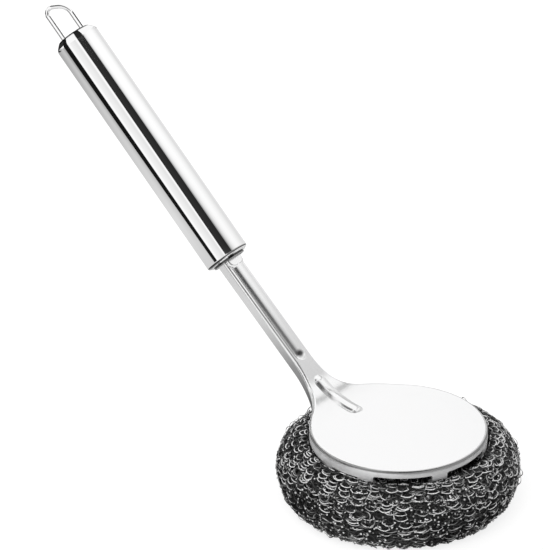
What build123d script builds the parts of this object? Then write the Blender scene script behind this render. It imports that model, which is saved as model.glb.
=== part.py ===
from build123d import *
from math import cos, degrees, radians, sin, tan
import os

# Pot scrubber: a stamped stainless holder on a tube handle, with a round knitted-wire scourer.
# The origin is the centre of the scourer's flat base, under the middle of the round plate.
# +Z is up and the handle rises toward -X. All lengths are in millimetres, all angles in degrees.

os.makedirs("parts", exist_ok=True)

# Round plate of the holder
plate_radius = 36.3
plate_height = 32.9
sheet_thickness = 0.9
shoulder_radius = 1.2
rim_depth = 4.9
notch_depth = 1.7
notch_corner_radius = 0.9
notch_angle_pairs = [(-24.6, 24.6), (24.6, 73.8), (-73.8, -24.6)]

# Claws under the flat part of the rim
claw_angles = [24.6, 73.8, 105.0, -24.6, -73.8, -105.0]
claw_width = 6.7
claw_drop = 6.8
claw_reach = 4.0
claw_bend_radius = 1.4
claw_slope = 15.0

# Stem and neck of the holder
stem_tilt = 41.6
channel_width = 9.9
channel_depth = 4.6
face_rise = 1.8
bend_radius = 35.0
neck_radius = 20.0
tang_length = 24.0

# Pressed ribs on the stem and the neck
stem_rib_width = 6.8
stem_rib_height = 1.5
stem_rib_end = 52.0
neck_rib_width = 6.4
neck_rib_height = 1.4
tang_rib_length = 5.5
tang_rib_margin = 0.6
tang_rib_corner_radius = 3.0
tang_rib_edge_radius = 1.2
rib_foot_radius = 0.6

# Handle tube, on an axis that meets the stem at the tube's lower end
handle_tilt = 43.1
collar_reach = 89.2
collar_height = 80.5
tube_radius = 9.5
tube_length = 112.6
tube_wall = 0.4
top_cone_length = 2.6
top_cone_radius = 6.9
top_cone_foot_rounding = 2.5
top_cone_rounding = 1.2
top_mouth_radius = 6.3
bottom_roll_radius = 0.9
bottom_mouth_radius = 8.3

# End caps
cap_sheet = 0.5
cap_skirt_length = 4.0
cap_clearance = 0.1
cap_recess = 0.2
cap_edge_radius = 0.4
collar_lip_rise = 0.3
collar_step_radius = 7.1
collar_step_rise = 0.8
slot_clearance = 0.4
slot_corner_radius = 0.8

# Hanging loop
loop_wire_diameter = 1.8
loop_spacing = 8.8
loop_high_corner = 16.1
loop_low_corner = 11.4
loop_high_radius = 2.6
loop_low_radius = 6.0
loop_leg_inside = 5.0
loop_twist = 45.0
leg_hole_clearance = 0.1

# Scourer
scourer_overhang = 13.0
scourer_base_rounding = 11.6
scourer_equator_share = 0.5536
scourer_clearance = 0.3
sleeve_thickness = 5.0
bore_radius = 3.0
dimple_radius = 12.0
dimple_depth = 4.0
gather_radius = 4.5
mouth_radius = 1.5
tie_wire_diameter = 1.2
tie_clearance = 0.1

# One overrun for all cuts
overrun = 2.0

# Directions along the stem and the handle, and the points where they meet
stem_up = Vector(-cos(radians(stem_tilt)), 0, sin(radians(stem_tilt)))
stem_out = Vector(sin(radians(stem_tilt)), 0, cos(radians(stem_tilt)))
handle_up = Vector(-cos(radians(handle_tilt)), 0, sin(radians(handle_tilt)))
handle_out = Vector(sin(radians(handle_tilt)), 0, cos(radians(handle_tilt)))
collar_centre = Vector(-collar_reach, 0, collar_height)
face_collar = collar_centre + stem_out * face_rise
edge_collar = face_collar - stem_out * channel_depth
handle_axis = Axis(collar_centre, handle_up)
handle_plane = Plane(origin=collar_centre, x_dir=handle_out, z_dir=handle_up)
handle_section = Plane(origin=collar_centre, x_dir=handle_out, z_dir=-handle_plane.y_dir)

# Bend between the stem and the plate, seen from the side
bend_corner_x = face_collar.X + (face_collar.Z - plate_height) / tan(radians(stem_tilt))
bend_centre_x = bend_corner_x + bend_radius * tan(radians(stem_tilt / 2))
bend_centre_z = plate_height + bend_radius


def side_line_points(start, end_height):
    """Corners of a side-view line that runs down the stem and along the plate at one depth."""
    corner_x = start.X + (start.Z - end_height) / tan(radians(stem_tilt))
    top = start + stem_up * tang_length
    return [(top.X, top.Z), (corner_x, end_height), (plate_radius + overrun, end_height)]


def rib_round(width, height):
    """Radius of a round rib section that stands out by its height over its width."""
    return (height**2 + (width / 2) ** 2) / (2 * height)


def export_piece(name, builder):
    """Label the piece and write its file."""
    builder.part.label = name
    export_step(builder.part, f"parts/{name}.step")


# Plan of the holder: plate, stem and the curved neck between them
plan_length = collar_reach + tang_length + channel_depth
with BuildSketch() as holder_plan:
    Circle(plate_radius)
    with Locations((-plan_length / 2, 0)):
        Rectangle(plan_length, channel_width)
    fillet(holder_plan.vertices().group_by(Axis.X)[1], radius=neck_radius)

with BuildSketch() as hollow_plan:
    add(holder_plan.sketch)
    offset(amount=-sheet_thickness, mode=Mode.REPLACE)
    with Locations((-plan_length, 0)):
        Rectangle(plan_length, channel_width - 2 * sheet_thickness)

# Outside of the stamping, as a solid block with rounded shoulders
block_height = collar_height + tang_length + plate_height
with BuildPart() as outside_block:
    with BuildSketch(Plane.XZ):
        with BuildLine():
            face_line = FilletPolyline(side_line_points(face_collar, plate_height), radius=bend_radius)
            edge_line = FilletPolyline(
                side_line_points(edge_collar, plate_height - rim_depth),
                radius=bend_radius + channel_depth,
            )
            Line(face_line @ 0, edge_line @ 0)
            Line(face_line @ 1, edge_line @ 1)
        make_face()
    extrude(amount=plate_radius + overrun, both=True)
    extrude(holder_plan.sketch, amount=block_height, mode=Mode.INTERSECT)
    face_edges = outside_block.faces().filter_by(lambda face: face.normal_at().Z > 0).edges()
    fillet(face_edges.filter_by(Axis.Y, reverse=True), radius=shoulder_radius)


def side_block(depth, end_height):
    """Everything between a height and the line that runs at a depth under the holder's face."""
    start = face_collar + stem_up * overrun - stem_out * depth
    with BuildPart() as block:
        with BuildSketch(Plane.XZ):
            with BuildLine():
                line = FilletPolyline(
                    side_line_points(start, plate_height - depth), radius=bend_radius + depth
                )
                Polyline(line @ 1, ((line @ 1).X, end_height), ((line @ 0).X, end_height), line @ 0)
            make_face()
        extrude(amount=plate_radius + overrun, both=True)
    return block.part


# Hollow under the sheet, one sheet thickness inside the block
with BuildPart() as hollow_block:
    add(side_block(sheet_thickness, 0))
    extrude(hollow_plan.sketch, amount=block_height, mode=Mode.INTERSECT)
    under_faces = hollow_block.faces().filter_by(lambda face: face.normal_at().Z > sin(radians(stem_tilt)))
    fillet(under_faces.edges().filter_by(Axis.Y, reverse=True), radius=shoulder_radius - sheet_thickness)


def stem_rib(inset):
    """Round-ended rib down the stem from the collar, drawn in by the inset."""
    radius = rib_round(stem_rib_width, stem_rib_height)
    bar_start = face_collar - stem_out * (radius - stem_rib_height)
    bar_length = stem_rib_end - stem_rib_width / 2
    with BuildPart() as rib:
        with BuildSketch(Plane(origin=bar_start, z_dir=-stem_up)):
            Circle(radius - inset)
        extrude(amount=bar_length)
        with Locations(bar_start, bar_start - stem_up * bar_length):
            Sphere(radius - inset)
        add(side_block(inset + sheet_thickness / 2, block_height), mode=Mode.INTERSECT)
    return rib.part


def neck_rib(inset):
    """Round-ended rib over the bend, drawn in by the inset."""
    radius = rib_round(neck_rib_width, neck_rib_height)
    end_angle = degrees(neck_rib_width / 2 / bend_radius)
    with BuildPart() as rib:
        with BuildLine(Plane.XZ) as path:
            CenterArc(
                center=(bend_centre_x, bend_centre_z),
                radius=bend_radius + radius - neck_rib_height,
                start_angle=270 - end_angle,
                arc_size=2 * end_angle - stem_tilt,
            )
        with BuildSketch(Plane(origin=path.line @ 0, z_dir=path.line % 0)):
            Circle(radius - inset)
        sweep()
        with Locations(path.line @ 0, path.line @ 1):
            Sphere(radius - inset)
        add(side_block(inset + sheet_thickness / 2, block_height), mode=Mode.INTERSECT)
    return rib.part


def tang_rib(inset, reach):
    """Wide upper part of the stem rib, up to a reach above the collar, drawn in by the inset."""
    length = reach + tang_rib_length
    middle = face_collar + stem_up * (length / 2 - tang_rib_length + inset) - stem_out * inset
    with BuildPart() as rib:
        with BuildSketch(Plane(origin=middle, x_dir=-stem_up, z_dir=stem_out)) as plan:
            Rectangle(length, channel_width - 2 * (tang_rib_margin + inset))
            fillet(plan.vertices().group_by(Axis.X)[-1], radius=tang_rib_corner_radius - inset)
        extrude(amount=stem_rib_height)
        top_face = rib.faces().sort_by(Axis(face_collar, stem_out))[-1]
        fillet(top_face.edges(), radius=tang_rib_edge_radius - inset)
    return rib.part


# Claw under the rim, at +X, bent in towards the plate's axis
claw_arc = degrees(claw_width / plate_radius)
claw_line_radius = plate_radius - sheet_thickness / 2
claw_corner_height = plate_height - claw_drop
claw_tip_drop = claw_reach * tan(radians(claw_slope))
with BuildPart() as claw:
    with BuildSketch(Plane.XZ.rotated((0, 0, -claw_arc / 2))):
        with BuildLine():
            FilletPolyline(
                (claw_line_radius, plate_height - rim_depth),
                (claw_line_radius, claw_corner_height),
                (claw_line_radius - claw_reach, claw_corner_height - claw_tip_drop),
                radius=claw_bend_radius,
            )
        trace(line_width=sheet_thickness)
    revolve(axis=Axis.Z, revolution_arc=claw_arc)


def rim_notch(start_angle, end_angle):
    """Cut in the rim's lower edge, from one claw to the next, with rounded inner corners."""
    with BuildPart() as notch:
        with BuildSketch(Plane.XZ.rotated((0, 0, start_angle + claw_arc / 2))):
            with Locations((claw_line_radius, plate_height - rim_depth)):
                Rectangle(2 * sheet_thickness, 2 * notch_depth)
        revolve(axis=Axis.Z, revolution_arc=end_angle - start_angle - claw_arc)
        end_edges = notch.edges().filter_by(GeomType.LINE).group_by(Axis.Z)[-1]
        fillet(end_edges, radius=notch_corner_radius)
    return notch.part


# Holder: one stamping with its ribs, notched rim and claws
with BuildPart() as ribbed_block:
    add(outside_block.part)
    add(stem_rib(0))
    fillet(ribbed_block.edges(Select.NEW), radius=rib_foot_radius)
    add(neck_rib(0))
    fillet(ribbed_block.edges(Select.NEW), radius=rib_foot_radius)
    add(tang_rib(0, tang_length))

with BuildPart() as scrubber_holder:
    add(ribbed_block.part)
    add(hollow_block.part, mode=Mode.SUBTRACT)
    add(stem_rib(sheet_thickness), mode=Mode.SUBTRACT)
    add(neck_rib(sheet_thickness), mode=Mode.SUBTRACT)
    add(tang_rib(sheet_thickness, tang_length + overrun), mode=Mode.SUBTRACT)
    for start_angle, end_angle in notch_angle_pairs:
        add(rim_notch(start_angle, end_angle), mode=Mode.SUBTRACT)
    for angle in claw_angles:
        add(claw.part, rotation=(0, 0, angle))

export_piece("scrubber_holder", scrubber_holder)

# Handle tube, rolled in at the bottom and coned in at the top
tube_line_radius = tube_radius - tube_wall / 2
with BuildPart() as handle_tube:
    with BuildSketch(handle_section):
        with BuildLine():
            FilletPolyline(
                (bottom_mouth_radius, tube_wall / 2),
                (tube_line_radius, tube_wall / 2),
                (tube_line_radius, tube_length - top_cone_length),
                (top_cone_radius, tube_length - tube_wall / 2),
                (top_mouth_radius, tube_length - tube_wall / 2),
                radius=[bottom_roll_radius, top_cone_foot_rounding, top_cone_rounding],
            )
        trace(line_width=tube_wall)
    revolve(axis=handle_axis)

export_piece("handle_tube", handle_tube)

# Lower cap: a stepped collar in the tube's mouth, with a slot that the tang passes through
collar_radius = bottom_mouth_radius - cap_clearance
slot_height = channel_depth + stem_rib_height + 2 * slot_clearance
slot_centre = face_rise + (stem_rib_height - channel_depth) / 2
with BuildPart() as handle_bottom_cap:
    with BuildSketch(handle_section):
        with BuildLine():
            Polyline(
                (0, -collar_lip_rise - collar_step_rise),
                (collar_step_radius, -collar_lip_rise - collar_step_rise),
                (collar_step_radius, -collar_lip_rise),
                (collar_radius, -collar_lip_rise),
                (collar_radius, cap_skirt_length),
                (collar_radius - cap_sheet, cap_skirt_length),
                (collar_radius - cap_sheet, cap_sheet - collar_lip_rise),
                (collar_step_radius - cap_sheet, cap_sheet - collar_lip_rise),
                (collar_step_radius - cap_sheet, cap_sheet - collar_lip_rise - collar_step_rise),
                (0, cap_sheet - collar_lip_rise - collar_step_rise),
                close=True,
            )
        make_face()
    revolve(axis=handle_axis)
    with BuildSketch(handle_plane):
        with Locations((slot_centre, 0)):
            RectangleRounded(slot_height, channel_width + 2 * slot_clearance, slot_corner_radius)
    extrude(amount=overrun, both=True, mode=Mode.SUBTRACT)

export_piece("handle_bottom_cap", handle_bottom_cap)

# Upper cap: a shallow cup in the tube's mouth, with two holes for the hanging loop
top_cap_radius = top_mouth_radius - cap_clearance
top_cap_height = tube_length - cap_recess
twisted_plane = Plane(
    origin=collar_centre + handle_up * tube_length,
    x_dir=handle_out.rotate(Axis((0, 0, 0), handle_up), -loop_twist),
    z_dir=handle_up,
)
with BuildPart() as handle_top_cap:
    with BuildSketch(handle_section):
        with BuildLine():
            Polyline(
                (0, top_cap_height),
                (top_cap_radius, top_cap_height),
                (top_cap_radius, top_cap_height - cap_skirt_length),
                (top_cap_radius - cap_sheet, top_cap_height - cap_skirt_length),
                (top_cap_radius - cap_sheet, top_cap_height - cap_sheet),
                (0, top_cap_height - cap_sheet),
                close=True,
            )
        make_face()
    revolve(axis=handle_axis)
    fillet(handle_top_cap.edges().sort_by(handle_axis)[-1], radius=cap_edge_radius)
    with BuildSketch(twisted_plane):
        with Locations((0, loop_spacing / 2), (0, -loop_spacing / 2)):
            Circle(loop_wire_diameter / 2 + leg_hole_clearance)
    extrude(amount=overrun, both=True, mode=Mode.SUBTRACT)

export_piece("handle_top_cap", handle_top_cap)

# Hanging loop: one wire bent to a lopsided arch, in a plane that is twisted about the handle's axis
loop_plane = Plane(origin=twisted_plane.origin, x_dir=twisted_plane.y_dir, z_dir=twisted_plane.x_dir)
with BuildPart() as hanging_loop:
    with BuildLine(loop_plane) as loop_path:
        FilletPolyline(
            (-loop_spacing / 2, -loop_leg_inside),
            (-loop_spacing / 2, loop_high_corner),
            (loop_spacing / 2, loop_low_corner),
            (loop_spacing / 2, -loop_leg_inside),
            radius=[loop_high_radius, loop_low_radius],
        )
    with BuildSketch(Plane(origin=loop_path.line @ 0, z_dir=loop_path.line % 0)):
        Circle(loop_wire_diameter / 2)
    sweep()

export_piece("hanging_loop", hanging_loop)

# Levels and radii of the scourer, set by the plate, the rim and the claws above it
pad_top_height = plate_height - sheet_thickness - scourer_clearance
shoulder_height = plate_height - rim_depth
equator_height = shoulder_height * scourer_equator_share
groove_floor_height = claw_corner_height - claw_tip_drop - sheet_thickness - scourer_clearance
groove_inner_radius = claw_line_radius - claw_reach - sheet_thickness / 2 - scourer_clearance
groove_outer_radius = plate_radius + scourer_clearance
scourer_radius = groove_outer_radius + scourer_overhang
dimple_floor_height = pad_top_height - dimple_depth


def rolled_core(inset):
    """Round space inside the sleeve, drawn in by the inset."""
    wall = sleeve_thickness + inset
    with BuildPart() as core:
        with BuildSketch(Plane.XZ):
            with BuildLine():
                lower = EllipticalCenterArc(
                    (scourer_radius - scourer_base_rounding, equator_height),
                    scourer_base_rounding - wall,
                    equator_height - wall,
                    start_angle=-90,
                )
                upper = EllipticalCenterArc(
                    (groove_outer_radius, equator_height),
                    scourer_overhang - wall,
                    groove_floor_height - wall - equator_height,
                )
                Polyline(upper @ 1, (0, (upper @ 1).Y), (0, wall), lower @ 0)
            make_face()
        revolve(axis=Axis.Z)
    return core.part


# Scourer sleeve: flat base, round side, a groove for the rim and the claws, and a tied mouth on top
with BuildPart() as scourer_outer_sleeve:
    with BuildSketch(Plane.XZ):
        with BuildLine():
            side_lower = EllipticalCenterArc(
                (scourer_radius - scourer_base_rounding, equator_height),
                scourer_base_rounding,
                equator_height,
                start_angle=-90,
            )
            side_upper = EllipticalCenterArc(
                (groove_outer_radius, equator_height),
                scourer_overhang,
                shoulder_height - equator_height,
            )
            Polyline(
                side_upper @ 1,
                (groove_outer_radius, groove_floor_height),
                (groove_inner_radius, groove_floor_height),
                (groove_inner_radius, pad_top_height),
                (dimple_radius, pad_top_height),
                (dimple_radius, dimple_floor_height),
                (gather_radius, dimple_floor_height),
                (gather_radius, pad_top_height),
                (0, pad_top_height),
                (0, 0),
                side_lower @ 0,
            )
        make_face()
    revolve(axis=Axis.Z)
    add(rolled_core(0), mode=Mode.SUBTRACT)
    with BuildSketch(Plane.XY.offset(groove_floor_height - sleeve_thickness - overrun)):
        Circle(mouth_radius)
    extrude(amount=plate_height, mode=Mode.SUBTRACT)

export_piece("scourer_outer_sleeve", scourer_outer_sleeve)

# Rolled core of the scourer, with the bore that it is rolled around
with BuildPart() as scourer_inner_roll:
    add(rolled_core(scourer_clearance))
    with BuildSketch(Plane.XY):
        Circle(bore_radius)
    extrude(amount=plate_height, mode=Mode.SUBTRACT)

export_piece("scourer_inner_roll", scourer_inner_roll)

# Wire tie round the sleeve's gathered mouth, in the middle of its dimple
tie_line_radius = gather_radius + tie_clearance + tie_wire_diameter / 2
with BuildPart() as scourer_tie_ring:
    with BuildSketch(Plane.XZ):
        with Locations((tie_line_radius, dimple_floor_height + dimple_depth / 2)):
            Circle(tie_wire_diameter / 2)
    revolve(axis=Axis.Z)

export_piece("scourer_tie_ring", scourer_tie_ring)
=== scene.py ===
import math

import bpy
import numpy as np
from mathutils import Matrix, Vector


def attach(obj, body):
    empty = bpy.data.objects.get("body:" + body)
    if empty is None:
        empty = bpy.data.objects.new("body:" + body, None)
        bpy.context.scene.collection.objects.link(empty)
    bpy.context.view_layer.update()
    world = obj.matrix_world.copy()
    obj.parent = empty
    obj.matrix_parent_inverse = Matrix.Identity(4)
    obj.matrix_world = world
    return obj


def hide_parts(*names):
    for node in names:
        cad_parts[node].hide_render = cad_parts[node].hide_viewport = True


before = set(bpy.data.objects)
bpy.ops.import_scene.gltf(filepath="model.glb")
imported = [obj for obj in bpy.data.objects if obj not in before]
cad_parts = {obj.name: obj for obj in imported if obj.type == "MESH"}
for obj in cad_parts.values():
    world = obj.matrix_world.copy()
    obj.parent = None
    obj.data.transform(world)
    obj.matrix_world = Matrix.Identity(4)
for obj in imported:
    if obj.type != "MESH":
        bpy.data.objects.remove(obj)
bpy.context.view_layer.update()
bpy.ops.object.select_all(action="DESELECT")

# Pot scrubber. Lengths are in metres unless a name says mm. The scourer's flat base stands on z = 0.
MM = 0.001

# Handle axis, from the plate end up to the hanging loop
HANDLE_FOOT = Vector((-0.0892, 0.0, 0.0805))
HANDLE_UP = Vector((-0.730162, 0.0, 0.683274))
HANDLE_LENGTH = 0.1126

# Direction of the holder's stem
STEM_UP = Vector((-0.7478, 0.0, 0.6639))

# Painted dark reflection in the hollow at the lower end of the stem's rib: its place, the radii of its dark
# middle and of its soft edge, and the share of light left in it
RIB_END = Vector((-0.0502, -0.0012, 0.0502))
HOLLOW_RADII = (0.0008, 0.0022)
HOLLOW_LIGHT = 0.12

# Duller rim: the height below which it starts, its soft border, and how much rougher and less metallic it is
RIM_HEIGHT = 0.0316
RIM_BORDER = 0.0006
RIM_ROUGHNESS = 0.25
RIM_FADE = 0.35

# Painted dark reflection under the plate's edge: its lowest and highest place, its soft sides and its depth
EDGE_LINE = (RIM_HEIGHT, 0.0325)
EDGE_SOFT = 0.0004
EDGE_DEPTH = 0.75

# Painted shadow in the lower cap's recess round the stem: its radius, its soft edge, and the share of light
# left in it
RECESS_RADIUS = 0.0072
RECESS_SOFT = 0.0004
RECESS_LIGHT = 0.08

# Painted shade in a line on the tube's lower rolled edge: its lowest and highest place, its soft sides and
# its depth
ROLL_LINE = (0.0003, 0.0008)
ROLL_SOFT = 0.0001
ROLL_DEPTH = 0.88

# Painted shade at the seam of the tube's upper mouth: how far below the tube's end it starts and is darkest,
# and the share of light left in it
SEAM_DROPS = (0.0009, 0.0006)
SEAM_LIGHT = 0.05

# Grain of all the steel: how fine its cloudy patches are, and how strongly the grain shows
PATCH_SCALE = 70.0
GRAIN_STRENGTH = 0.35

# Photograph's camera
CAMERA_TARGET = Vector((-0.0585, -0.0097, 0.0872))
CAMERA_BACK = Vector((0.5540, -0.6842, 0.4743)).normalized()
CAMERA_DISTANCE = 2.5
CAMERA_LENS_MM = 403.2
CAMERA_FILM_MM = 36.0

# Scourer outline in millimetres
PAD_RADIUS_MM = 49.6
PAD_SHOULDER_MM = 28.0
PAD_EQUATOR_MM = 15.5
PAD_BASE_ROUNDING_MM = 11.6
PAD_OVERHANG_MM = 13.0
GROOVE_INNER_MM = 31.1
GROOVE_OUTER_MM = 36.6
GROOVE_FLOOR_MM = 23.8
PAD_TOP_MM = 31.7
DIMPLE_RADIUS_MM = 12.0
DIMPLE_FLOOR_MM = 27.7
GATHER_RADIUS_MM = 4.5

# Small steps of the outline in millimetres: the mouth's hem, the dimple's slope to either side, the
# groove's upper inner edge, the sunk middle of its floor, the feet of its two walls, and the radius at
# which the base's outline ends
MOUTH_HEM_MM = 0.6
DIMPLE_IN_MM = 1.0
DIMPLE_OUT_MM = 1.5
TOP_EDGE_MM = 1.2
GROOVE_SINK_MM = 0.4
INNER_FOOT_MM = 1.4
INNER_FOOT_RISE_MM = 0.8
OUTER_FOOT_MM = 1.0
OUTER_FOOT_RISE_MM = 1.2
OUTER_LEAN_MM = 0.1
BASE_HOLE_MM = 2.0

# How closely the outline is followed: points on an arc, a step along it, and steps that are smoothed
ARC_POINTS = 40
WALK_STEP_MM = 0.25
SMOOTHED_STEPS = 9

# Knitting
WALES = 44
COURSE_PITCH_MM = 1.35
FLAT_COURSE_PITCH_MM = 1.6
WIRE_WIDTH_MM = 0.4
WIRE_THICKNESS_MM = 0.13

# A loop's half width as a share of a stitch, how much its legs are pinched, and how much wider and taller
# loose loops are. The loosest are high on the side, this many radians before the x axis.
LOOP_WIDTH_SHARE = 0.19
LOOP_PINCH_SHARE = 0.35
LOOSE_WIDTH_SHARE = 0.12
LOOSE_HEIGHT_SHARE = 0.75
LOOSE_TURN = 0.2

# The wire's width at the shoulder as a share of its plain width, and what it loses down to the base's edge.
# The loops' unevenness loses a share of its own.
SHOULDER_WIRE_SHARE = 1.05
WIRE_LOSS_SHARE = 0.35
UNEVEN_LOSS_SHARE = 0.7

# How uneven the knitting is: shares of a stitch's height or width, and lengths in millimetres
HEIGHT_SHARE = 0.4
LEAN_SHARE = 0.22
DRIFT_SHARE = 0.12
SLIP_MM = 0.6
FINE_SLIP_MM = 0.4
LIFT_MM = 0.26
BULGE_MM = 0.26
TWIST_DEGREES = 38.0

# Brightness of the knit, painted into its colour as light and shade: by turn and by place down the side, of
# a loop's wire, flecks and foot, how wide and sharp the foot's painted glint is, and how much the glints and
# flecks vary
BRIGHT_TURN_DEGREES = 39
PLAIN_ZONE = 0.95
BRIGHT_ZONE = 0.22
UPPER_ZONE = 1.34
ZONE_LOSS = 1.03
WIRE_SHINE = 0.13
FLECK_SHINE = 0.45
FOOT_SHINE = 0.68
FOOT_REACH = 0.15
FOOT_SHARPNESS = 1.6
LIGHT_SPREAD = 0.95
FLECK_SPREAD = 0.3

# Columns of loops that stand out: their least and most height in mm, how round and how deep between, the
# shares of it at the shoulder and added at the base, and how far above the shoulder they start
LOBE_HEIGHTS_MM = (0.3, 1.3)
LOBE_ROUNDNESS = 0.8
LOBE_HOLLOW = 0.55
LOBE_SHOULDER_SHARE = 0.2
LOBE_BASE_SHARE = 1.5
LOBE_START_MM = 2
LOBE_SEED = 3

# Slow swelling of the whole scourer: how many waves, their lobes round it, their rates along the side per
# mm, their strengths and phases, and how far they reach together
WAVES = 9
WAVE_LOBES = (2, 12)
WAVE_RATES = (0.05, 0.35)
WAVE_STRENGTHS = (0.3, 1.0)
WAVE_PHASES = (0, 6.28)
WAVE_REACH_MM = 0.25
WAVE_SEED = 5

# Loose wires and flattened places of the wire: how many, how deep a loose wire is rooted, how far a
# flattened place stands out, and how near the ground either may come
STRAY_WIRES = 150
FLATTENED_SPOTS = 1700
ROOT_DEPTH_MM = 0.3
SPOT_RISE_MM = 0.25
LOWEST_WIRE_MM = 0.2

# A loose wire: its points, half length, bow outwards and sag, twist in radians, width as a share of the
# knitted wire's, its tone with painted light and the share of it lost as painted shade towards the rooted
# ends, and its least distance from the shoulder and from the base's edge
STRAY_POINTS = 15
STRAY_REACH_MM = (1.4, 3.6)
STRAY_BOW_MM = (0.7, 1.6)
STRAY_SAG_MM = (-2.2, 2.2)
STRAY_TWIST = (-1.2, 1.2)
STRAY_WIDTH_SHARE = 0.85
STRAY_SHINE = (0.15, 0.9)
STRAY_FADE_SHARE = 0.4
STRAY_CLEAR_MM = (1, 6)
STRAY_SEED = 77

# A flattened place: the same values, the share of the way down the side at which it lies, how such places
# crowd towards the base, and its turn in radians away from lying round the side or up it
SPOT_POINTS = 3
SPOT_DOWN_SHARES = (0.1, 1.0)
SPOT_CROWDING = 0.75
SPOT_TURN = (-0.3, 0.3)
SPOT_REACH_MM = (0.22, 0.45)
SPOT_BOW_MM = 0.2
SPOT_TWIST = (-0.5, 0.5)
SPOT_WIDTH_SHARES = (1.1, 2.1)
# Painted glints: the flattened places' bright colour
SPOT_SHINE = (0.62, 1.0)
SPOT_SEED = 78

# Packed wire behind the knitting
CORE_INSET_MM = 1.6
CORE_STEP_MM = 0.8
CORE_SEGMENTS = 176
CORE_LUMP_SIZE = 0.0035
CORE_LUMP_HEIGHT = 0.0016
CORE_SIDE_RADIUS = 0.034
CORE_BASE_SWELL_MM = 0.9
CORE_LOWEST_MM = 0.4


# Materials


class Socket:
    """A node's output. Sums written with it add Math nodes."""

    def __init__(self, nodes, output):
        self.nodes = nodes
        self.output = output

    def math(self, operation, first, second):
        return self.nodes.node("ShaderNodeMath", {"operation": operation}, {0: first, 1: second})

    def __add__(self, other):
        return self.math("ADD", self, other)

    __radd__ = __add__

    def __sub__(self, other):
        return self.math("SUBTRACT", self, other)

    def __rsub__(self, other):
        return self.math("SUBTRACT", other, self)

    def __mul__(self, other):
        return self.math("MULTIPLY", self, other)

    __rmul__ = __mul__


class Nodes:
    """The node tree of a material or of the world."""

    def __init__(self, owner):
        owner.use_nodes = True
        self.tree = owner.node_tree
        self.tree.nodes.clear()

    def node(self, kind, settings=None, inputs=None, output=0):
        """Add a node with its settings and its inputs, and give back one of its outputs."""
        made = self.tree.nodes.new(kind)
        settings = dict(settings or {})
        stops = settings.pop("stops", None)
        for name, value in settings.items():
            setattr(made, name, value)
        if stops:
            ramp = made.color_ramp.elements
            while len(ramp) < len(stops):
                ramp.new(0.5)
            for element, (place, colour) in zip(ramp, stops):
                element.position = place
                element.color = colour
        for name, value in (inputs or {}).items():
            if isinstance(value, Socket):
                self.tree.links.new(value.output, made.inputs[name])
            else:
                made.inputs[name].default_value = value
        return Socket(self, made.outputs[output]) if made.outputs else made

    def vector(self, operation, inputs, output=0):
        """Add a Vector Math node."""
        return self.node("ShaderNodeVectorMath", {"operation": operation}, inputs, output)

    def graded(self, value, start, end, low, high):
        """Goes from low to high while a value goes from start to end."""
        return self.node("ShaderNodeMapRange", inputs={0: value, 1: start, 2: end, 3: low, 4: high})


def grey(tone):
    return (tone, tone, tone, 1.0)


def grey_stops(stops):
    """A ramp's stops from places and tones."""
    return [(place, grey(tone)) for place, tone in stops]


def along_direction(nodes, place, direction):
    """Distance of a place along a direction."""
    return nodes.vector("DOT_PRODUCT", {0: place, 1: direction}, output=1)


def from_handle_axis(nodes, place):
    """Distance of a place from the handle's axis, and how far up the axis it lies."""
    from_foot = nodes.vector("SUBTRACT", {0: place, 1: tuple(HANDLE_FOOT)})
    up = along_direction(nodes, from_foot, tuple(HANDLE_UP))
    on_axis = nodes.vector("SCALE", {0: tuple(HANDLE_UP), "Scale": up})
    aside = nodes.vector("SUBTRACT", {0: from_foot, 1: on_axis})
    return nodes.vector("LENGTH", {0: aside}, output=1), up


def recess_shade(nodes, place):
    """Painted shadow: darkens the lower cap's colour inside its recess round the stem."""
    distance, _ = from_handle_axis(nodes, place)
    return nodes.graded(distance, RECESS_RADIUS, RECESS_RADIUS + RECESS_SOFT, RECESS_LIGHT, 1.0)


def line_shade(nodes, level, line, soft, depth):
    """Painted shade: darkens a line where a level lies between the line's two values, with soft sides."""
    low, high = line
    rise = nodes.graded(level, low, low + soft, 0.0, 1.0)
    fall = nodes.graded(level, high, high + soft, 1.0, 0.0)
    return 1.0 - rise * fall * depth


def holder_shade(nodes, place):
    """Painted dark reflections in the hollow at the lower end of the stem's rib and under the plate's edge.
    """
    distance = nodes.vector("DISTANCE", {0: place, 1: tuple(RIB_END)}, output=1)
    hollow = nodes.graded(distance, *HOLLOW_RADII, HOLLOW_LIGHT, 1.0)
    height = along_direction(nodes, place, (0, 0, 1))
    return hollow * line_shade(nodes, height, EDGE_LINE, EDGE_SOFT, EDGE_DEPTH)


def mouth_shade(nodes, place):
    """Painted shade at the seam of the tube's upper mouth and on the turn of its lower rolled edge."""
    _, up = from_handle_axis(nodes, place)
    start, darkest = [HANDLE_LENGTH - drop for drop in SEAM_DROPS]
    seam = nodes.graded(up, start, darkest, 1.0, SEAM_LIGHT)
    return seam * line_shade(nodes, up, ROLL_LINE, ROLL_SOFT, ROLL_DEPTH)


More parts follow.
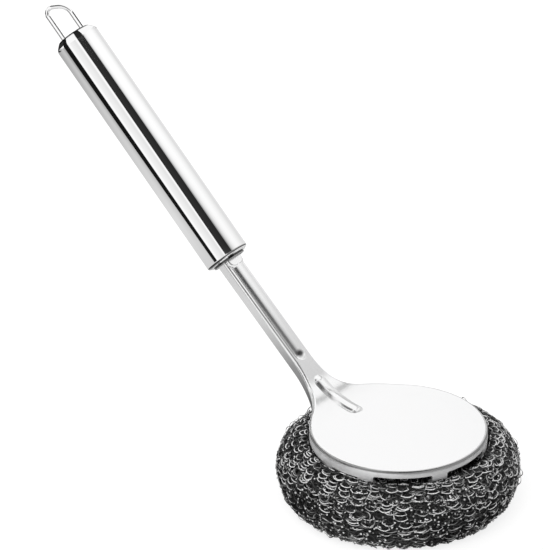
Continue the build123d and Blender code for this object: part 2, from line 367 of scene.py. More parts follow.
def steel(
    name,
    tint,
    roughness,
    roughness_spread,
    grain_along,
    grain_fine,
    grain_coarse,
    grain_depth,
    rim_height=None,
    shade=None,
):
    """Stainless steel with a fine grain drawn out along one direction, and duller below a rim's height."""
    material = bpy.data.materials.new(name)
    nodes = Nodes(material)
    place = nodes.node("ShaderNodeTexCoord", output=3)
    lengthwise = along_direction(nodes, place, grain_along)
    across = nodes.vector("SCALE", {0: place, "Scale": grain_fine})
    pull = lengthwise * (grain_coarse - grain_fine)
    stretch = nodes.vector("SCALE", {0: tuple(grain_along), "Scale": pull})
    drawn = nodes.vector("ADD", {0: across, 1: stretch})
    grain = nodes.node("ShaderNodeTexNoise", inputs={"Vector": drawn, "Scale": 1.0, "Detail": 3.0})
    patches = nodes.node("ShaderNodeTexNoise", inputs={"Vector": place, "Scale": PATCH_SCALE, "Detail": 2.0})
    level = roughness + (grain - 0.5) * roughness_spread + (patches - 0.5) * (roughness_spread * 0.5)
    metallic = 1.0
    if rim_height:
        height = along_direction(nodes, place, (0, 0, 1))
        dull = nodes.graded(height, rim_height + RIM_BORDER, rim_height - RIM_BORDER, 0.0, 1.0)
        level = level + dull * RIM_ROUGHNESS
        metallic = 1.0 - dull * RIM_FADE
    relief = {"Strength": GRAIN_STRENGTH, "Distance": grain_depth, "Height": grain}
    bump = nodes.node("ShaderNodeBump", inputs=relief)
    colour = (*tint, 1.0)
    # Painted shade: a shade function scales the base colour down by place
    if shade:
        colour = nodes.vector("SCALE", {0: tint, "Scale": shade(nodes, place)})
    shader = nodes.node(
        "ShaderNodeBsdfPrincipled",
        inputs={"Base Color": colour, "Metallic": metallic, "Roughness": level, "Normal": bump},
    )
    nodes.node("ShaderNodeOutputMaterial", inputs={"Surface": shader})
    return material


def knitted_wire_finish():
    """Flat stainless wire with painted shade where it turns inwards and painted light where a loop's foot
    glints.
    """
    material = bpy.data.materials.new("knitted_steel_wire")
    nodes = Nodes(material)
    tone_and_painted_light = nodes.node("ShaderNodeAttribute", {"attribute_name": "tone_and_painted_light"}, output=2)
    stops = [(0.0, 0.012), (0.25, 0.03), (0.5, 0.09), (0.75, 0.42), (0.92, 0.97)]
    colour = nodes.node("ShaderNodeValToRGB", {"stops": grey_stops(stops)}, {0: tone_and_painted_light})
    shader = nodes.node(
        "ShaderNodeBsdfPrincipled",
        inputs={"Base Color": colour, "Metallic": 0.55, "Roughness": 0.3},
    )
    nodes.node("ShaderNodeOutputMaterial", inputs={"Surface": shader})
    return material


def packed_wire_finish():
    """The mass of wire behind the outer layers, painted dark as shade, with short lighter strands in it."""
    material = bpy.data.materials.new("packed_steel_wire")
    nodes = Nodes(material)
    place = nodes.node("ShaderNodeTexCoord", output=3)
    strands = nodes.node(
        "ShaderNodeTexNoise",
        inputs={"Vector": place, "Scale": 900.0, "Detail": 2.0, "Distortion": 1.5},
    )
    stops = [(0.0, 0.006), (0.48, 0.011), (0.6, 0.035), (0.75, 0.11)]
    colour = nodes.node("ShaderNodeValToRGB", {"stops": grey_stops(stops)}, {0: strands})
    bump = nodes.node("ShaderNodeBump", inputs={"Strength": 0.8, "Distance": 0.0004, "Height": strands})
    shader = nodes.node(
        "ShaderNodeBsdfPrincipled",
        inputs={"Base Color": colour, "Metallic": 0.7, "Roughness": 0.5, "Normal": bump},
    )
    nodes.node("ShaderNodeOutputMaterial", inputs={"Surface": shader})
    return material


def dress(piece, material):
    """Give a piece one material."""
    piece.data.materials.clear()
    piece.data.materials.append(material)


# Handle and holder

BRIGHT = (0.96, 0.96, 0.962)
ACROSS = Vector((0.0, 1.0, 0.0))


def polished_tube_finish():
    """Mirror polished, with faint drawing lines along the tube, and painted shade at its mouth and rolled
    edge.
    """
    return steel(
        "polished_tube_steel",
        BRIGHT,
        roughness=0.025,
        roughness_spread=0.02,
        grain_along=HANDLE_UP,
        grain_fine=2600.0,
        grain_coarse=14.0,
        grain_depth=0.000003,
        shade=mouth_shade,
    )


def cap_finish(name, shade=None):
    """Pressed and polished sheet with an even, fine grain, and the painted shade it is given, if any."""
    return steel(
        name,
        BRIGHT,
        roughness=0.16,
        roughness_spread=0.06,
        grain_along=ACROSS,
        grain_fine=900.0,
        grain_coarse=900.0,
        grain_depth=0.000004,
        shade=shade,
    )


def holder_finish():
    """Satin sheet with a fine grain along the stem, and painted dark reflections at the rib's end and
    plate's edge.
    """
    return steel(
        "holder_steel",
        BRIGHT,
        roughness=0.2,
        roughness_spread=0.06,
        grain_along=STEM_UP,
        grain_fine=2200.0,
        grain_coarse=30.0,
        grain_depth=0.00001,
        rim_height=RIM_HEIGHT,
        shade=holder_shade,
    )


def loop_wire_finish():
    """Bright drawn wire."""
    return steel(
        "loop_wire_steel",
        BRIGHT,
        roughness=0.025,
        roughness_spread=0.02,
        grain_along=HANDLE_UP,
        grain_fine=900.0,
        grain_coarse=60.0,
        grain_depth=0.000003,
    )


def tie_wire_finish():
    """Duller drawn wire."""
    return steel(
        "tie_wire_steel",
        (0.7, 0.7, 0.705),
        roughness=0.2,
        roughness_spread=0.05,
        grain_along=ACROSS,
        grain_fine=900.0,
        grain_coarse=200.0,
        grain_depth=0.000003,
    )


def dress_steel():
    """Give the CAD's rigid steel pieces their finishes."""
    finishes = {
        "handle_tube": polished_tube_finish(),
        "handle_bottom_cap": cap_finish("bottom_cap_steel", recess_shade),
        "handle_top_cap": cap_finish("top_cap_steel"),
        "scrubber_holder": holder_finish(),
        "hanging_loop": loop_wire_finish(),
        "scourer_tie_ring": tie_wire_finish(),
    }
    for name, finish in finishes.items():
        dress(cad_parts[name], finish)


# Scourer

knit_finish = knitted_wire_finish()


def quarter_ellipse(centre, across, up, start, end, count):
    """Points of an ellipse's arc in the side view, without the last one."""
    angles = np.radians(np.linspace(start, end, count, endpoint=False))
    return np.stack([centre[0] + across * np.cos(angles), centre[1] + up * np.sin(angles)], 1)


def pad_outline(inset):
    """Side view of the scourer from its tied mouth, over the groove and the side, to its base's centre."""
    shoulder = quarter_ellipse(
        (GROOVE_OUTER_MM, PAD_EQUATOR_MM),
        PAD_OVERHANG_MM - inset,
        PAD_SHOULDER_MM - PAD_EQUATOR_MM - inset,
        90,
        0,
        ARC_POINTS,
    )
    lower = quarter_ellipse(
        (PAD_RADIUS_MM - PAD_BASE_ROUNDING_MM, PAD_EQUATOR_MM),
        PAD_BASE_ROUNDING_MM - inset,
        PAD_EQUATOR_MM - inset,
        0,
        -90,
        ARC_POINTS,
    )
    top = np.array(
        [
            (GATHER_RADIUS_MM + MOUTH_HEM_MM, DIMPLE_FLOOR_MM - inset),
            (DIMPLE_RADIUS_MM - DIMPLE_IN_MM, DIMPLE_FLOOR_MM - inset),
            (DIMPLE_RADIUS_MM + DIMPLE_OUT_MM, PAD_TOP_MM - inset),
            (GROOVE_INNER_MM - TOP_EDGE_MM - inset, PAD_TOP_MM - inset),
            (GROOVE_INNER_MM - inset, PAD_TOP_MM - TOP_EDGE_MM - inset),
            (GROOVE_INNER_MM - inset, GROOVE_FLOOR_MM + INNER_FOOT_RISE_MM - inset),
            (GROOVE_INNER_MM + INNER_FOOT_MM, GROOVE_FLOOR_MM - GROOVE_SINK_MM - inset),
            (GROOVE_OUTER_MM - OUTER_FOOT_MM, GROOVE_FLOOR_MM - GROOVE_SINK_MM - inset),
            (GROOVE_OUTER_MM - OUTER_LEAN_MM + inset, GROOVE_FLOOR_MM + OUTER_FOOT_RISE_MM - inset),
        ]
    )
    base = np.array([(PAD_RADIUS_MM - PAD_BASE_ROUNDING_MM, inset), (BASE_HOLE_MM, inset)])
    return np.concatenate([top, shoulder, lower, base])


class OutlineWalk:
    """Radius, height and outward direction at any length along the side view's line."""

    def __init__(self, points):
        steps = np.hypot(*np.diff(points, axis=0).T)
        marks = np.concatenate([[0.0], np.cumsum(steps)])
        self.length = marks[-1]
        self.marks = np.arange(0.0, self.length, WALK_STEP_MM)
        line = np.stack([np.interp(self.marks, marks, points[:, k]) for k in (0, 1)], 1)
        self.radius, self.height = line.T
        smooth = np.hanning(SMOOTHED_STEPS) / np.hanning(SMOOTHED_STEPS).sum()
        slope = np.gradient(line, axis=0)
        padded = [np.pad(slope[:, k], SMOOTHED_STEPS // 2, "edge") for k in (0, 1)]
        slope = np.stack([np.convolve(column, smooth, "valid") for column in padded], 1)
        slope /= np.linalg.norm(slope, axis=1)[:, None]
        self.out_radius, self.out_height = -slope[:, 1], slope[:, 0]

    def at(self, length):
        wanted = np.clip(length, 0.0, self.marks[-1])
        columns = (self.radius, self.height, self.out_radius, self.out_height)
        return [np.interp(wanted, self.marks, column) for column in columns]

    def mark_near(self, radius, height):
        """Length at which the line passes nearest to a point."""
        return self.marks[np.argmin((self.radius - radius) ** 2 + (self.height - height) ** 2)]


def round_noise(rng, rows, columns, count, reach):
    """One smooth random value per row and point round the ring, from a value for each column."""
    anchors = rng.uniform(-reach, reach, (rows, columns))
    place = np.arange(count) * columns / count
    left = np.floor(place).astype(int)
    ease = place - left
    ease = ease * ease * (3 - 2 * ease)
    return anchors[:, left % columns] * (1 - ease) + anchors[:, (left + 1) % columns] * ease


def slow_waves(turn, mark):
    """How far slow swelling lifts a row by its turn and its mark, the same for every layer."""
    rng = np.random.default_rng(WAVE_SEED)
    total = np.zeros(len(turn))
    for _ in range(WAVES):
        lobes, rate = rng.integers(*WAVE_LOBES), rng.uniform(*WAVE_RATES)
        strength, phase = rng.uniform(*WAVE_STRENGTHS), rng.uniform(*WAVE_PHASES)
        total += strength * np.sin(lobes * turn + rate * mark + phase)
    return total * WAVE_REACH_MM / math.sqrt(WAVES)


def ribbon_mesh(name, runs):
    """Flat wires as one mesh: each run gives points, side and outward axes, painted brightness, and if it
    closes.
    """
    half_width, half_thick = WIRE_WIDTH_MM / 2, WIRE_THICKNESS_MM / 2
    corners = ((-1, -1), (1, -1), (1, 1), (-1, 1))
    places, tones_and_painted_lights, faces, base = [], [], [], 0
    for points, side, outward, tone_and_painted_light, closed in runs:
        count = len(points)
        ring = [points + side * half_width * a + outward * half_thick * b for a, b in corners]
        places.append(np.stack(ring, 1).reshape(-1, 3))
        tones_and_painted_lights.append(np.repeat(tone_and_painted_light, 4))
        step = np.arange(count if closed else count - 1)
        following = (step + 1) % count
        for k in range(4):
            n = (k + 1) % 4
            quads = [step * 4 + k, step * 4 + n, following * 4 + n, following * 4 + k]
            faces.append(base + np.stack(quads, 1))
        if not closed:
            last = base + (count - 1) * 4
            ends = [[base + 3, base + 2, base + 1, base], [last, last + 1, last + 2, last + 3]]
            faces.append(np.array(ends))
        base += count * 4
    places = np.concatenate(places) * MM
    faces = np.concatenate(faces)
    mesh = bpy.data.meshes.new(name)
    mesh.vertices.add(len(places))
    mesh.vertices.foreach_set("co", places.astype(np.float32).ravel())
    mesh.loops.add(faces.size)
    mesh.loops.foreach_set("vertex_index", faces.astype(np.int32).ravel())
    mesh.polygons.add(len(faces))
    mesh.polygons.foreach_set("loop_start", np.arange(0, faces.size, 4, dtype=np.int32))
    mesh.update(calc_edges=True)
    mesh.attributes.new("tone_and_painted_light", "FLOAT", "POINT").data.foreach_set(
        "value", np.concatenate(tones_and_painted_lights).astype(np.float32)
    )
    piece = bpy.data.objects.new(name, mesh)
    bpy.context.scene.collection.objects.link(piece)
    dress(piece, knit_finish)
    return piece


def wire_axes(points, outward, twist, closed):
    """Side and outward axes of a flat wire that is twisted by an angle about its own line."""
    if closed:
        run = np.roll(points, -1, 0) - np.roll(points, 1, 0)
    else:
        run = np.gradient(points, axis=0)
    run /= np.linalg.norm(run, axis=1)[:, None]
    side = np.cross(outward, run)
    side /= np.linalg.norm(side, axis=1)[:, None]
    face = np.cross(run, side)
    cos, sin = np.cos(twist)[:, None], np.sin(twist)[:, None]
    return side * cos + face * sin, face * cos - side * sin


def share_down(length, side_marks):
    """How far down the side a length lies: 0 at the shoulder, 1 at the base's edge."""
    shoulder, edge = side_marks
    return np.clip((length - shoulder) / (edge - shoulder), 0, 1)


def round_places(radius, turn, height):
    """Points or directions from a radius, a turn round the scourer and a height."""
    return np.stack([radius * np.cos(turn), radius * np.sin(turn), height], 1)


def painted_zone_light(turn, length, side_marks):
    """Painted light on the loops: brightest in the upper rows on one side, least low down."""
    facing = 0.5 + 0.5 * np.cos(turn - math.radians(BRIGHT_TURN_DEGREES))
    return (PLAIN_ZONE + BRIGHT_ZONE * facing) * (UPPER_ZONE - ZONE_LOSS * share_down(length, side_marks))


def column_lobes(turn, down):
    """How far each knitted column stands out, by its own amount, most near the base."""
    heights = np.random.default_rng(LOBE_SEED).uniform(*LOBE_HEIGHTS_MM, WALES)
    place = turn / (2 * math.pi) * WALES
    column = np.round(place).astype(int)
    ridge = np.cos(math.pi * (place - column)) ** LOBE_ROUNDNESS
    fullness = LOBE_SHOULDER_SHARE + LOBE_BASE_SHARE * down * down
    return (ridge - LOBE_HOLLOW) * heights[column % WALES] * fullness


def knitted_courses(name, seed, marks, depth, stitch_height, tone, walk, side_marks, offset=0.0, samples=16):
    """Rows of knitted loops round the scourer, one row at each mark along the side view's line."""
    rng = np.random.default_rng(seed)
    rows, count = len(marks), WALES * samples
    stitch = np.arange(count) / samples
    plain_turn = 2 * math.pi * stitch / WALES
    tall = stitch_height * (1 + round_noise(rng, rows, WALES, count, HEIGHT_SHARE))
    lean = round_noise(rng, rows, WALES, count, LEAN_SHARE)
    slip = round_noise(rng, rows, WALES // 2, count, SLIP_MM)
    slip += round_noise(rng, rows, WALES * 2, count, FINE_SLIP_MM)
    lift = round_noise(rng, rows, WALES, count, LIFT_MM)
    twist = np.radians(round_noise(rng, rows, WALES * 2, count, TWIST_DEGREES))
    light = round_noise(rng, rows, WALES * 2, count, LIGHT_SPREAD)
    fleck = round_noise(rng, rows, WALES * 3, count, FLECK_SPREAD)
    drift = rng.uniform(-DRIFT_SHARE, DRIFT_SHARE, rows)
    runs = []
    for row, mark in enumerate(marks):
        down = share_down(mark, side_marks)
        loose = (1 - down) * (0.5 + 0.5 * np.cos(plain_turn + LOOSE_TURN))
        width = LOOP_WIDTH_SHARE + LOOSE_WIDTH_SHARE * loose
        spread = stitch - LOOP_PINCH_SHARE * width * np.sin(4 * math.pi * stitch)
        phase = 2 * math.pi * spread
        across = spread + width * np.sin(2 * phase) + lean[row] + drift[row] + offset
        turn = 2 * math.pi * across / WALES
        length = mark + tall[row] * (1 + LOOSE_HEIGHT_SHARE * loose) * np.cos(phase) + slip[row]
        radius, height, out_radius, out_height = walk.at(length)
        tame = 1 - UNEVEN_LOSS_SHARE * down
        lobes = column_lobes(turn, down) if mark > side_marks[0] - LOBE_START_MM else 0.0
        waves = slow_waves(turn, mark)
        out = BULGE_MM * np.cos(phase) * tame + lobes + lift[row] * tame + waves - depth
        radius, height = radius + out_radius * out, height + out_height * out
        height = np.maximum(height, WIRE_THICKNESS_MM)
        points = round_places(radius, turn, height)
        outward = round_places(out_radius, turn, out_height)
        side, face = wire_axes(points, outward, twist[row], True)
        # Painted light: a glint painted on each loop's foot, scaled by the painted light of its zone and the
        # layer's tone
        foot = np.clip(np.cos(phase) + FOOT_REACH, 0, 1) ** FOOT_SHARPNESS
        painted_zone = painted_zone_light(turn, length, side_marks)
        tone_and_painted_light = tone * painted_zone * (WIRE_SHINE + fleck[row] * FLECK_SHINE + foot * (FOOT_SHINE + light[row]))
        side = side * (SHOULDER_WIRE_SHARE - WIRE_LOSS_SHARE * down)
        runs.append((points, side, face, np.clip(tone_and_painted_light, 0, 1), True))
    return ribbon_mesh(name, runs)


def turned_shell(name, outline, segments, material):
    """A closed turned shape: a ring is added, then extruded and resized along the side view's line."""
    radius, height = outline[0] * MM
    bpy.ops.mesh.primitive_circle_add(
        vertices=segments, radius=radius, fill_type="NGON", location=(0, 0, height)
    )
    piece = bpy.context.object
    piece.name = name
    bpy.ops.object.transform_apply(location=True, rotation=True, scale=True)
    bpy.ops.object.mode_set(mode="EDIT")
    bpy.ops.mesh.select_all(action="SELECT")
    for (r0, z0), (r1, z1) in zip(outline[:-1] * MM, outline[1:] * MM):
        bpy.ops.mesh.extrude_region_move(TRANSFORM_OT_translate={"value": (0, 0, z1 - z0)})
        bpy.ops.transform.resize(value=(r1 / r0, r1 / r0, 1), center_override=(0, 0, z1))
    bpy.ops.mesh.select_all(action="SELECT")
    bpy.ops.mesh.normals_make_consistent(inside=False)
    bpy.ops.object.mode_set(mode="OBJECT")
    bpy.ops.object.shade_smooth()
    dress(piece, material)
    bpy.ops.object.select_all(action="DESELECT")
    return piece


def packed_core():
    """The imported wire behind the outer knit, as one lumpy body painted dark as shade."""
    outline = pad_outline(CORE_INSET_MM)
    keep = [0]
    for k in range(1, len(outline)):
        if np.hypot(*(outline[k] - outline[keep[-1]])) > CORE_STEP_MM or k == len(outline) - 1:
            keep.append(k)
    piece = turned_shell("scourer_packed_core", outline[keep], CORE_SEGMENTS, packed_wire_finish())
    bpy.context.view_layer.objects.active = piece
    lumps = bpy.data.textures.new("core_lumps", "CLOUDS")
    lumps.noise_scale = CORE_LUMP_SIZE
    swell = piece.modifiers.new("lumps", "DISPLACE")
    swell.texture = lumps
    swell.texture_coords = "LOCAL"
    swell.strength = CORE_LUMP_HEIGHT
    swell.mid_level = 0.5
    bpy.ops.object.modifier_apply(modifier=swell.name)
    spots = np.empty(len(piece.data.vertices) * 3, np.float32)
    piece.data.vertices.foreach_get("co", spots)
    spots = spots.reshape(-1, 3)
    across = np.hypot(spots[:, 0], spots[:, 1])
    down = np.clip(1 - spots[:, 2] / (PAD_SHOULDER_MM * MM), 0, 1)
    lobes = column_lobes(np.arctan2(spots[:, 1], spots[:, 0]), down) + CORE_BASE_SWELL_MM * down * down
    swollen = np.where(across > CORE_SIDE_RADIUS, across + lobes * MM, across)
    spots[:, :2] *= (swollen / np.maximum(across, 1e-9))[:, None]
    spots[:, 2] = np.maximum(spots[:, 2], CORE_LOWEST_MM * MM)
    piece.data.vertices.foreach_set("co", spots.ravel())
    piece.data.update()
    return piece


def loose_wire(walk, turn0, mark0, reach, bow, heading, sag, count):
    """Points and outward directions of a short wire that bows out of the knit."""
    t = np.linspace(-1, 1, count)
    along, aside = reach * t, sag * (1 - t * t)
    length = mark0 + along * math.sin(heading) + aside * math.cos(heading)
    radius, height, out_radius, out_height = walk.at(length)
    turn = turn0 + (along * math.cos(heading) - aside * math.sin(heading)) / radius
    out = bow * (1 - t * t) - ROOT_DEPTH_MM
    radius, height = radius + out_radius * out, np.maximum(height + out_height * out, LOWEST_WIRE_MM)
    return t, round_places(radius, turn, height), round_places(out_radius, turn, out_height)


def stray_wires(walk, side_marks):
    """Loose loops of wire that stand out of the knit."""
    rng = np.random.default_rng(STRAY_SEED)
    runs = []
    for _ in range(STRAY_WIRES):
        turn0 = rng.uniform(0, 2 * math.pi)
        mark0 = rng.uniform(side_marks[0] + STRAY_CLEAR_MM[0], side_marks[1] - STRAY_CLEAR_MM[1])
        reach, bow = rng.uniform(*STRAY_REACH_MM), rng.uniform(*STRAY_BOW_MM)
        heading, sag = rng.uniform(-math.pi, math.pi), rng.uniform(*STRAY_SAG_MM)
        t, points, outward = loose_wire(walk, turn0, mark0, reach, bow, heading, sag, STRAY_POINTS)
        twist = np.linspace(0, rng.uniform(*STRAY_TWIST), STRAY_POINTS)
        side, face = wire_axes(points, outward, twist, False)
        tone_and_painted_light = np.clip(rng.uniform(*STRAY_SHINE) * (1 - STRAY_FADE_SHARE * t * t), 0, 1)
        runs.append((points, side * STRAY_WIDTH_SHARE, face, tone_and_painted_light, False))
    return ribbon_mesh("scourer_stray_wires", runs)


def flattened_spots(walk, side_marks):
    """Short flattened places of the wire, coloured bright as painted glints."""
    rng = np.random.default_rng(SPOT_SEED)
    runs = []
    for _ in range(FLATTENED_SPOTS):
        turn0 = rng.uniform(0, 2 * math.pi)
        share = rng.uniform(*SPOT_DOWN_SHARES) ** SPOT_CROWDING
        mark0 = side_marks[0] + share * (side_marks[1] - side_marks[0])
        heading = rng.choice([0.0, math.pi / 2]) + rng.uniform(*SPOT_TURN)
        reach, wide = rng.uniform(*SPOT_REACH_MM), rng.uniform(*SPOT_WIDTH_SHARES)
        _, points, outward = loose_wire(walk, turn0, mark0, reach, SPOT_BOW_MM, heading, 0.0, SPOT_POINTS)
        lobes = column_lobes(np.full(SPOT_POINTS, turn0), share)
        points = points + outward * (lobes + SPOT_RISE_MM)[:, None]
        points[:, 2] = np.maximum(points[:, 2], LOWEST_WIRE_MM)
        twist = np.full(SPOT_POINTS, rng.uniform(*SPOT_TWIST))
        side, face = wire_axes(points, outward, twist, False)
        tone_and_painted_light = np.full(SPOT_POINTS, rng.uniform(*SPOT_SHINE))
        runs.append((points, side * wide, face, tone_and_painted_light, False))
    return ribbon_mesh("scourer_flattened_spots", runs)


# Knitted layers of the side: seed, depth and stitch height in mm, tone of the painted light (less in deeper
# layers, as painted shade), shift along the side in mm, and offset round it as a share of a stitch
SIDE_LAYERS = [
    ("scourer_knit_outer", 11, 0.3, 1.9, 1.0, 0.0, 0.0),
    ("scourer_knit_second", 12, 0.8, 1.8, 0.66, 0.7, 0.5),
    ("scourer_knit_third", 13, 1.25, 1.7, 0.42, 0.3, 0.2),
]

# Knitted layers of the base and of the top: seed, depth and stitch height in mm, tone of the painted light
FLAT_LAYERS = [
    ("scourer_knit_base", 21, 0.3, 1.8, 2.6),
    ("scourer_knit_top", 31, 0.7, 1.5, 0.8),
]
FLAT_SAMPLES = 12

# How far past its two borders each set of rows starts and ends, in mm along the side view's line
SIDE_ROW_ENDS_MM = (0.2, 1.5)
BASE_ROW_ENDS_MM = (2.0, -3.0)
TOP_ROW_ENDS_MM = (2.0, -0.4)


def rows_between(first_border, last_border, past, pitch):
    """Marks of knitted rows from one border to the next, starting and ending a little past them."""
    return np.arange(first_border + past[0], last_border + past[1], pitch)


def make_scourer():
    """Packed core, knitted layers on the side, the base and the top, and stray wires."""
    walk = OutlineWalk(pad_outline(0.0))
    shoulder_mark = walk.mark_near(GROOVE_OUTER_MM, PAD_SHOULDER_MM)
    edge_mark = walk.mark_near(PAD_RADIUS_MM - PAD_BASE_ROUNDING_MM, 0.0)
    side_marks = (shoulder_mark, edge_mark)
    core = packed_core()
    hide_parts("scourer_inner_roll")
    pieces = [core]
    side_rows = rows_between(shoulder_mark, edge_mark, SIDE_ROW_ENDS_MM, COURSE_PITCH_MM)
    base_rows = rows_between(edge_mark, walk.length, BASE_ROW_ENDS_MM, FLAT_COURSE_PITCH_MM)
    top_rows = rows_between(0.0, shoulder_mark, TOP_ROW_ENDS_MM, FLAT_COURSE_PITCH_MM)
    for name, seed, depth, tall, tone, shift, offset in SIDE_LAYERS:
        marks = side_rows + shift
        pieces.append(knitted_courses(name, seed, marks, depth, tall, tone, walk, side_marks, offset))
    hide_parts("scourer_outer_sleeve")
    for (name, seed, depth, tall, tone), marks in zip(FLAT_LAYERS, (base_rows, top_rows)):
        layer = (name, seed, marks, depth, tall, tone, walk, side_marks)
        pieces.append(knitted_courses(*layer, samples=FLAT_SAMPLES))
    pieces.append(stray_wires(walk, side_marks))
    pieces.append(flattened_spots(walk, side_marks))
    for piece in pieces:
        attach(piece, "scourer")


# Studio

LAMP_AIM = Vector((-0.04, 0.0, 0.05))

# Lamps: name, place, size, and power in watts
LAMPS = [
    ("soft_key", (0.6, -1.2, 1.6), 1.2, 14.0),
    ("soft_fill", (-1.4, -0.6, 1.3), 1.4, 8.0),
]

# Brightness of the surroundings in diffuse light, and the floor's size and how far it lies under z = 0
DIFFUSE_WORLD = 0.7
FLOOR_SIZE = 12.0
FLOOR_DROP = 0.0001


def studio_world():
    """White surroundings for the camera and for reflections, softer for diffuse light."""
    world = bpy.data.worlds.new("studio")
    bpy.context.scene.world = world
    nodes = Nodes(world)
    path = "ShaderNodeLightPath"
    seen = nodes.node(path, output=0)
    glossy = nodes.node(path, output=3)
    through = nodes.node(path, output=6)
    white = nodes.node("ShaderNodeClamp", inputs={0: seen + glossy + through})
    strength = white + (1.0 - white) * DIFFUSE_WORLD
    light = nodes.node("ShaderNodeBackground", inputs={"Color": grey(1.0), "Strength": strength})
    nodes.node("ShaderNodeOutputWorld", inputs={"Surface": light})


def studio_floor():
    """A pale floor, white to the camera but for the shadow; in reflections greyer near the object, a painted
    shadow.
    """
    bpy.ops.mesh.primitive_plane_add(size=FLOOR_SIZE, location=(0, 0, -FLOOR_DROP))
    floor = bpy.context.object
    floor.name = "studio_floor"
    material = bpy.data.materials.new("floor_white")
    nodes = Nodes(material)
    path = "ShaderNodeLightPath"
    seen = nodes.node(path, output=0)
    mirrored = nodes.node(path, output=3)
    place = nodes.node("ShaderNodeTexCoord", output=3)
    away = nodes.node("ShaderNodeVectorMath", {"operation": "LENGTH"}, {0: place}, output=1)
    # Painted shadow near the object, seen only in reflections
    stops = [(0.0, 0.1), (0.1, 0.12), (0.125, 0.3), (0.165, 0.7), (0.4, 0.85), (1.0, 1.0)]
    mirrored_painted_shadow = nodes.node("ShaderNodeValToRGB", {"stops": grey_stops(stops)}, {0: away})
    pale = nodes.node("ShaderNodeBsdfDiffuse", inputs={"Color": grey(0.8)})
    faint = nodes.node("ShaderNodeBsdfDiffuse", inputs={"Color": grey(0.3)})
    glow = nodes.node("ShaderNodeEmission", inputs={"Color": grey(1.0), "Strength": 0.8})
    white = nodes.node("ShaderNodeAddShader", inputs={0: faint, 1: glow})
    mirrored_glow = nodes.node("ShaderNodeEmission", inputs={"Color": mirrored_painted_shadow, "Strength": 1.0})
    for_camera = nodes.node("ShaderNodeMixShader", inputs={0: seen, 1: pale, 2: white})
    mixed = nodes.node("ShaderNodeMixShader", inputs={0: mirrored, 1: for_camera, 2: mirrored_glow})
    nodes.node("ShaderNodeOutputMaterial", inputs={"Surface": mixed})
    dress(floor, material)


def area_lamp(name, place, size, power):
    """A square lamp that is aimed at the object and isn't mirrored in it."""
    data = bpy.data.lights.new(name, "AREA")
    data.shape = "SQUARE"
    data.size = size
    data.energy = power
    lamp = bpy.data.objects.new(name, data)
    bpy.context.scene.collection.objects.link(lamp)
    lamp.location = place
    lamp.rotation_mode = "QUATERNION"
    lamp.rotation_quaternion = (LAMP_AIM - Vector(place)).to_track_quat("-Z", "Y")
    lamp.visible_glossy = False


def reflector_finish():
    """A panel that shows only in reflections, as light or dark as its tone."""
    material = bpy.data.materials.new("studio_panel")
    nodes = Nodes(material)
    tone = nodes.node("ShaderNodeAttribute", {"attribute_name": "tone"}, output=2)
    glow = nodes.node("ShaderNodeEmission", inputs={"Color": grey(1.0), "Strength": tone})
    nodes.node("ShaderNodeOutputMaterial", inputs={"Surface": glow})
    return material


panel_finish = reflector_finish()

# Panels of the tent by turn round the handle. Each row gives the turn in degrees and the tone, for the
# stem, for the handle's foot and for its top.
TENT_PANELS = [
    (-180, 0.66, -180, 0.70, -180, 0.38),
    (-165, 0.66, -165, 0.74, -165, 0.36),
    (-130, 0.66, -130, 0.76, -130, 0.40),
    (-110, 0.66, -110, 0.75, -110, 0.52),
    (-95, 0.66, -95, 0.70, -97, 0.58),
    (-78, 0.66, -78, 0.66, -88, 0.45),
    (-71.5, 0.62, -71.5, 0.62, -81, 0.40),
    (-71, 0.66, -71, 0.008, -80, 0.008),
    (-53, 0.92, -53, 0.008, -54, 0.008),
    (-52, 0.95, -52, 1.02, -53, 1.02),
    (-46, 0.95, -46, 1.02, -46, 1.02),
    (-38, 0.92, -38, 0.92, -38, 0.92),
    (-25, 0.86, -25, 0.86, -25, 0.88),
    (-14, 0.82, -14, 0.80, -14, 0.82),
    (-10, 0.84, -9, 0.82, -8, 0.84),
    (-6, 0.92, -6, 1.0, -4, 1.02),
    (-2, 0.90, -1.5, 1.0, 2.5, 1.02),
    (6, 0.80, -0.5, 0.02, 3.5, 0.02),
    (12, 0.20, 10, 0.03, 14, 0.03),
    (35, 0.20, 35, 0.02, 38.6, 0.02),
    (38, 0.22, 36.5, 0.22, 40, 0.50),
    (45.6, 0.30, 45.6, 0.65, 46, 0.88),
    (57, 0.42, 57, 0.88, 57, 1.03),
    (68, 0.53, 68, 0.98, 68, 1.06),
    (81, 0.62, 81, 1.0, 81, 1.06),
    (94, 0.62, 94, 0.95, 94, 1.04),
    (110, 0.66, 110, 0.85, 110, 0.93),
    (130, 0.70, 130, 0.76, 130, 0.76),
    (165, 0.72, 165, 0.80, 165, 0.82),
    (180, 0.66, 180, 0.70, 180, 0.38),
]

# Places along the handle, from its middle, to which the table's three pairs of columns belong
TENT_STATIONS = (-0.045, -0.02, 0.095)

# Last place and number of the tent's rows that follow the table
TENT_END = 0.1175
TENT_ROWS = 22

# Rows round the hanging loop, bright in front and dark beside it by turn, and the rows past them
LOOP_ROWS = (0.1205, 0.151)
LOOP_TURNS = (48, 60)
LOOP_TONES = (1.05, 0.02)
PAST_LOOP_ROWS = (0.155, 0.26)

# The tent's two halves: name, least and most turn, and lowest place along the handle
TENT_HALVES = [("studio_tent_upper", -56.0, 181.0, -0.26), ("studio_tent_lower", -181.0, -50.0, -0.06)]

# Distances of the tent and of the top panels from the handle, and what a panel keeps clear of the floor
TENT_REACH = 0.5
TOP_REACH = 0.2
LEAST_REACH = 0.03
FLOOR_GAP = 0.002
LOWEST_PANEL = 0.0015

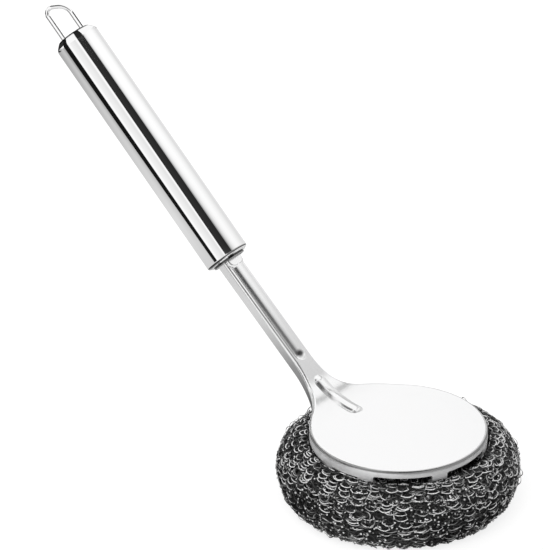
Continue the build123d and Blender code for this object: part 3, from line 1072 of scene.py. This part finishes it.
# Dark panels past the handle's top: lowest and highest turn round the handle and lean along it, in
# degrees, of the steel that mirrors them, and the tone
TOP_PANELS = [
    (-40, -27, 4, 46, 0.01),
    (1.7, 19, 4, 46, 0.02),
    (-85, 6, 58, 80, 0.02),
    (-85, -40, 24, 58, 0.03),
]
TOP_PANEL_ROWS = 9
TOP_PANEL_COLUMNS = 17


def handle_axes():
    """Directions across the handle: towards the camera, and aside."""
    front = (CAMERA_BACK - HANDLE_UP * CAMERA_BACK.dot(HANDLE_UP)).normalized()
    return front, HANDLE_UP.cross(front)


def panel_mesh(name, rows, tones):
    """A grid of points as a panel that shows only in reflections."""
    width = len(rows[0])
    faces = []
    for row in range(len(rows) - 1):
        for k in range(width - 1):
            a = row * width + k
            faces.append((a, a + 1, a + 1 + width, a + width))
    mesh = bpy.data.meshes.new(name)
    mesh.from_pydata([tuple(spot) for row in rows for spot in row], [], faces)
    mesh.attributes.new("tone", "FLOAT", "POINT").data.foreach_set("value", np.ravel(tones))
    panel = bpy.data.objects.new(name, mesh)
    bpy.context.scene.collection.objects.link(panel)
    dress(panel, panel_finish)
    panel.visible_camera = panel.visible_diffuse = panel.visible_shadow = False
    panel.visible_transmission = False


def panel_spot(start, direction, reach):
    """The place that far off in a direction, or just above the floor."""
    if direction.z < 0:
        reach = min(reach, max(LEAST_REACH, (start.z - FLOOR_GAP) / -direction.z))
    spot = start + direction * reach
    spot.z = max(spot.z, LOWEST_PANEL)
    return spot


def studio_tent():
    """Long panels round the handle that the polished steel mirrors. A half keeps its first row's columns."""
    middle = HANDLE_FOOT + HANDLE_UP * (HANDLE_LENGTH / 2)
    front, aside = handle_axes()
    panels = np.array(TENT_PANELS, float)
    last = len(panels) - 1
    steps = np.arange(last * 4 + 1) / 4
    for name, least, most, lowest in TENT_HALVES:
        rows, tones = [], []
        for s in [*np.linspace(lowest, TENT_END, TENT_ROWS), *LOOP_ROWS, *PAST_LOOP_ROWS]:
            columns = [[np.interp(s, TENT_STATIONS, line[k::2]) for line in panels] for k in (0, 1)]
            turns, levels = [np.interp(steps, np.arange(len(panels)), column) for column in columns]
            if not rows:
                chosen = (turns >= least) & (turns <= most)
            if s in LOOP_ROWS:
                levels = np.interp(np.abs(turns), LOOP_TURNS, LOOP_TONES)
            start = middle + HANDLE_UP * s
            row = []
            for turn in np.radians(turns[chosen]):
                direction = front * math.cos(turn) + aside * math.sin(turn)
                row.append(panel_spot(start, direction, TENT_REACH))
            rows.append(row)
            tones.append(levels[chosen])
        panel_mesh(name, rows, tones)


def top_panels():
    """Dark panels that the rounded steel at the handle's top mirrors towards the camera."""
    start = HANDLE_FOOT + HANDLE_UP * HANDLE_LENGTH
    front, aside = handle_axes()
    for number, (turn0, turn1, lean0, lean1, tone) in enumerate(TOP_PANELS):
        rows = []
        for lean in np.radians(np.linspace(lean0, lean1, TOP_PANEL_ROWS)):
            row = []
            for turn in np.radians(np.linspace(turn0, turn1, TOP_PANEL_COLUMNS)):
                normal = front * math.cos(turn) + aside * math.sin(turn)
                normal = normal * math.cos(lean) + HANDLE_UP * math.sin(lean)
                mirrored = normal * (2 * normal.dot(CAMERA_BACK)) - CAMERA_BACK
                row.append(panel_spot(start, mirrored, TOP_REACH))
            rows.append(row)
        panel_mesh(f"studio_top_panel_{number}", rows, np.full((TOP_PANEL_ROWS, TOP_PANEL_COLUMNS), tone))


def make_studio():
    studio_world()
    studio_floor()
    for name, place, size, power in LAMPS:
        area_lamp(name, place, size, power)
    studio_tent()
    top_panels()


def make_camera():
    data = bpy.data.cameras.new("photo_camera")
    data.lens = CAMERA_LENS_MM
    data.sensor_width = CAMERA_FILM_MM
    data.sensor_fit = "AUTO"
    data.clip_end = 50.0
    camera = bpy.data.objects.new("photo_camera", data)
    bpy.context.scene.collection.objects.link(camera)
    camera.location = CAMERA_TARGET + CAMERA_BACK * CAMERA_DISTANCE
    camera.rotation_mode = "QUATERNION"
    camera.rotation_quaternion = (-CAMERA_BACK).to_track_quat("-Z", "Y")
    bpy.context.scene.camera = camera


dress_steel()
make_scourer()
make_studio()
make_camera()
bpy.context.scene.view_settings.view_transform = "Standard"
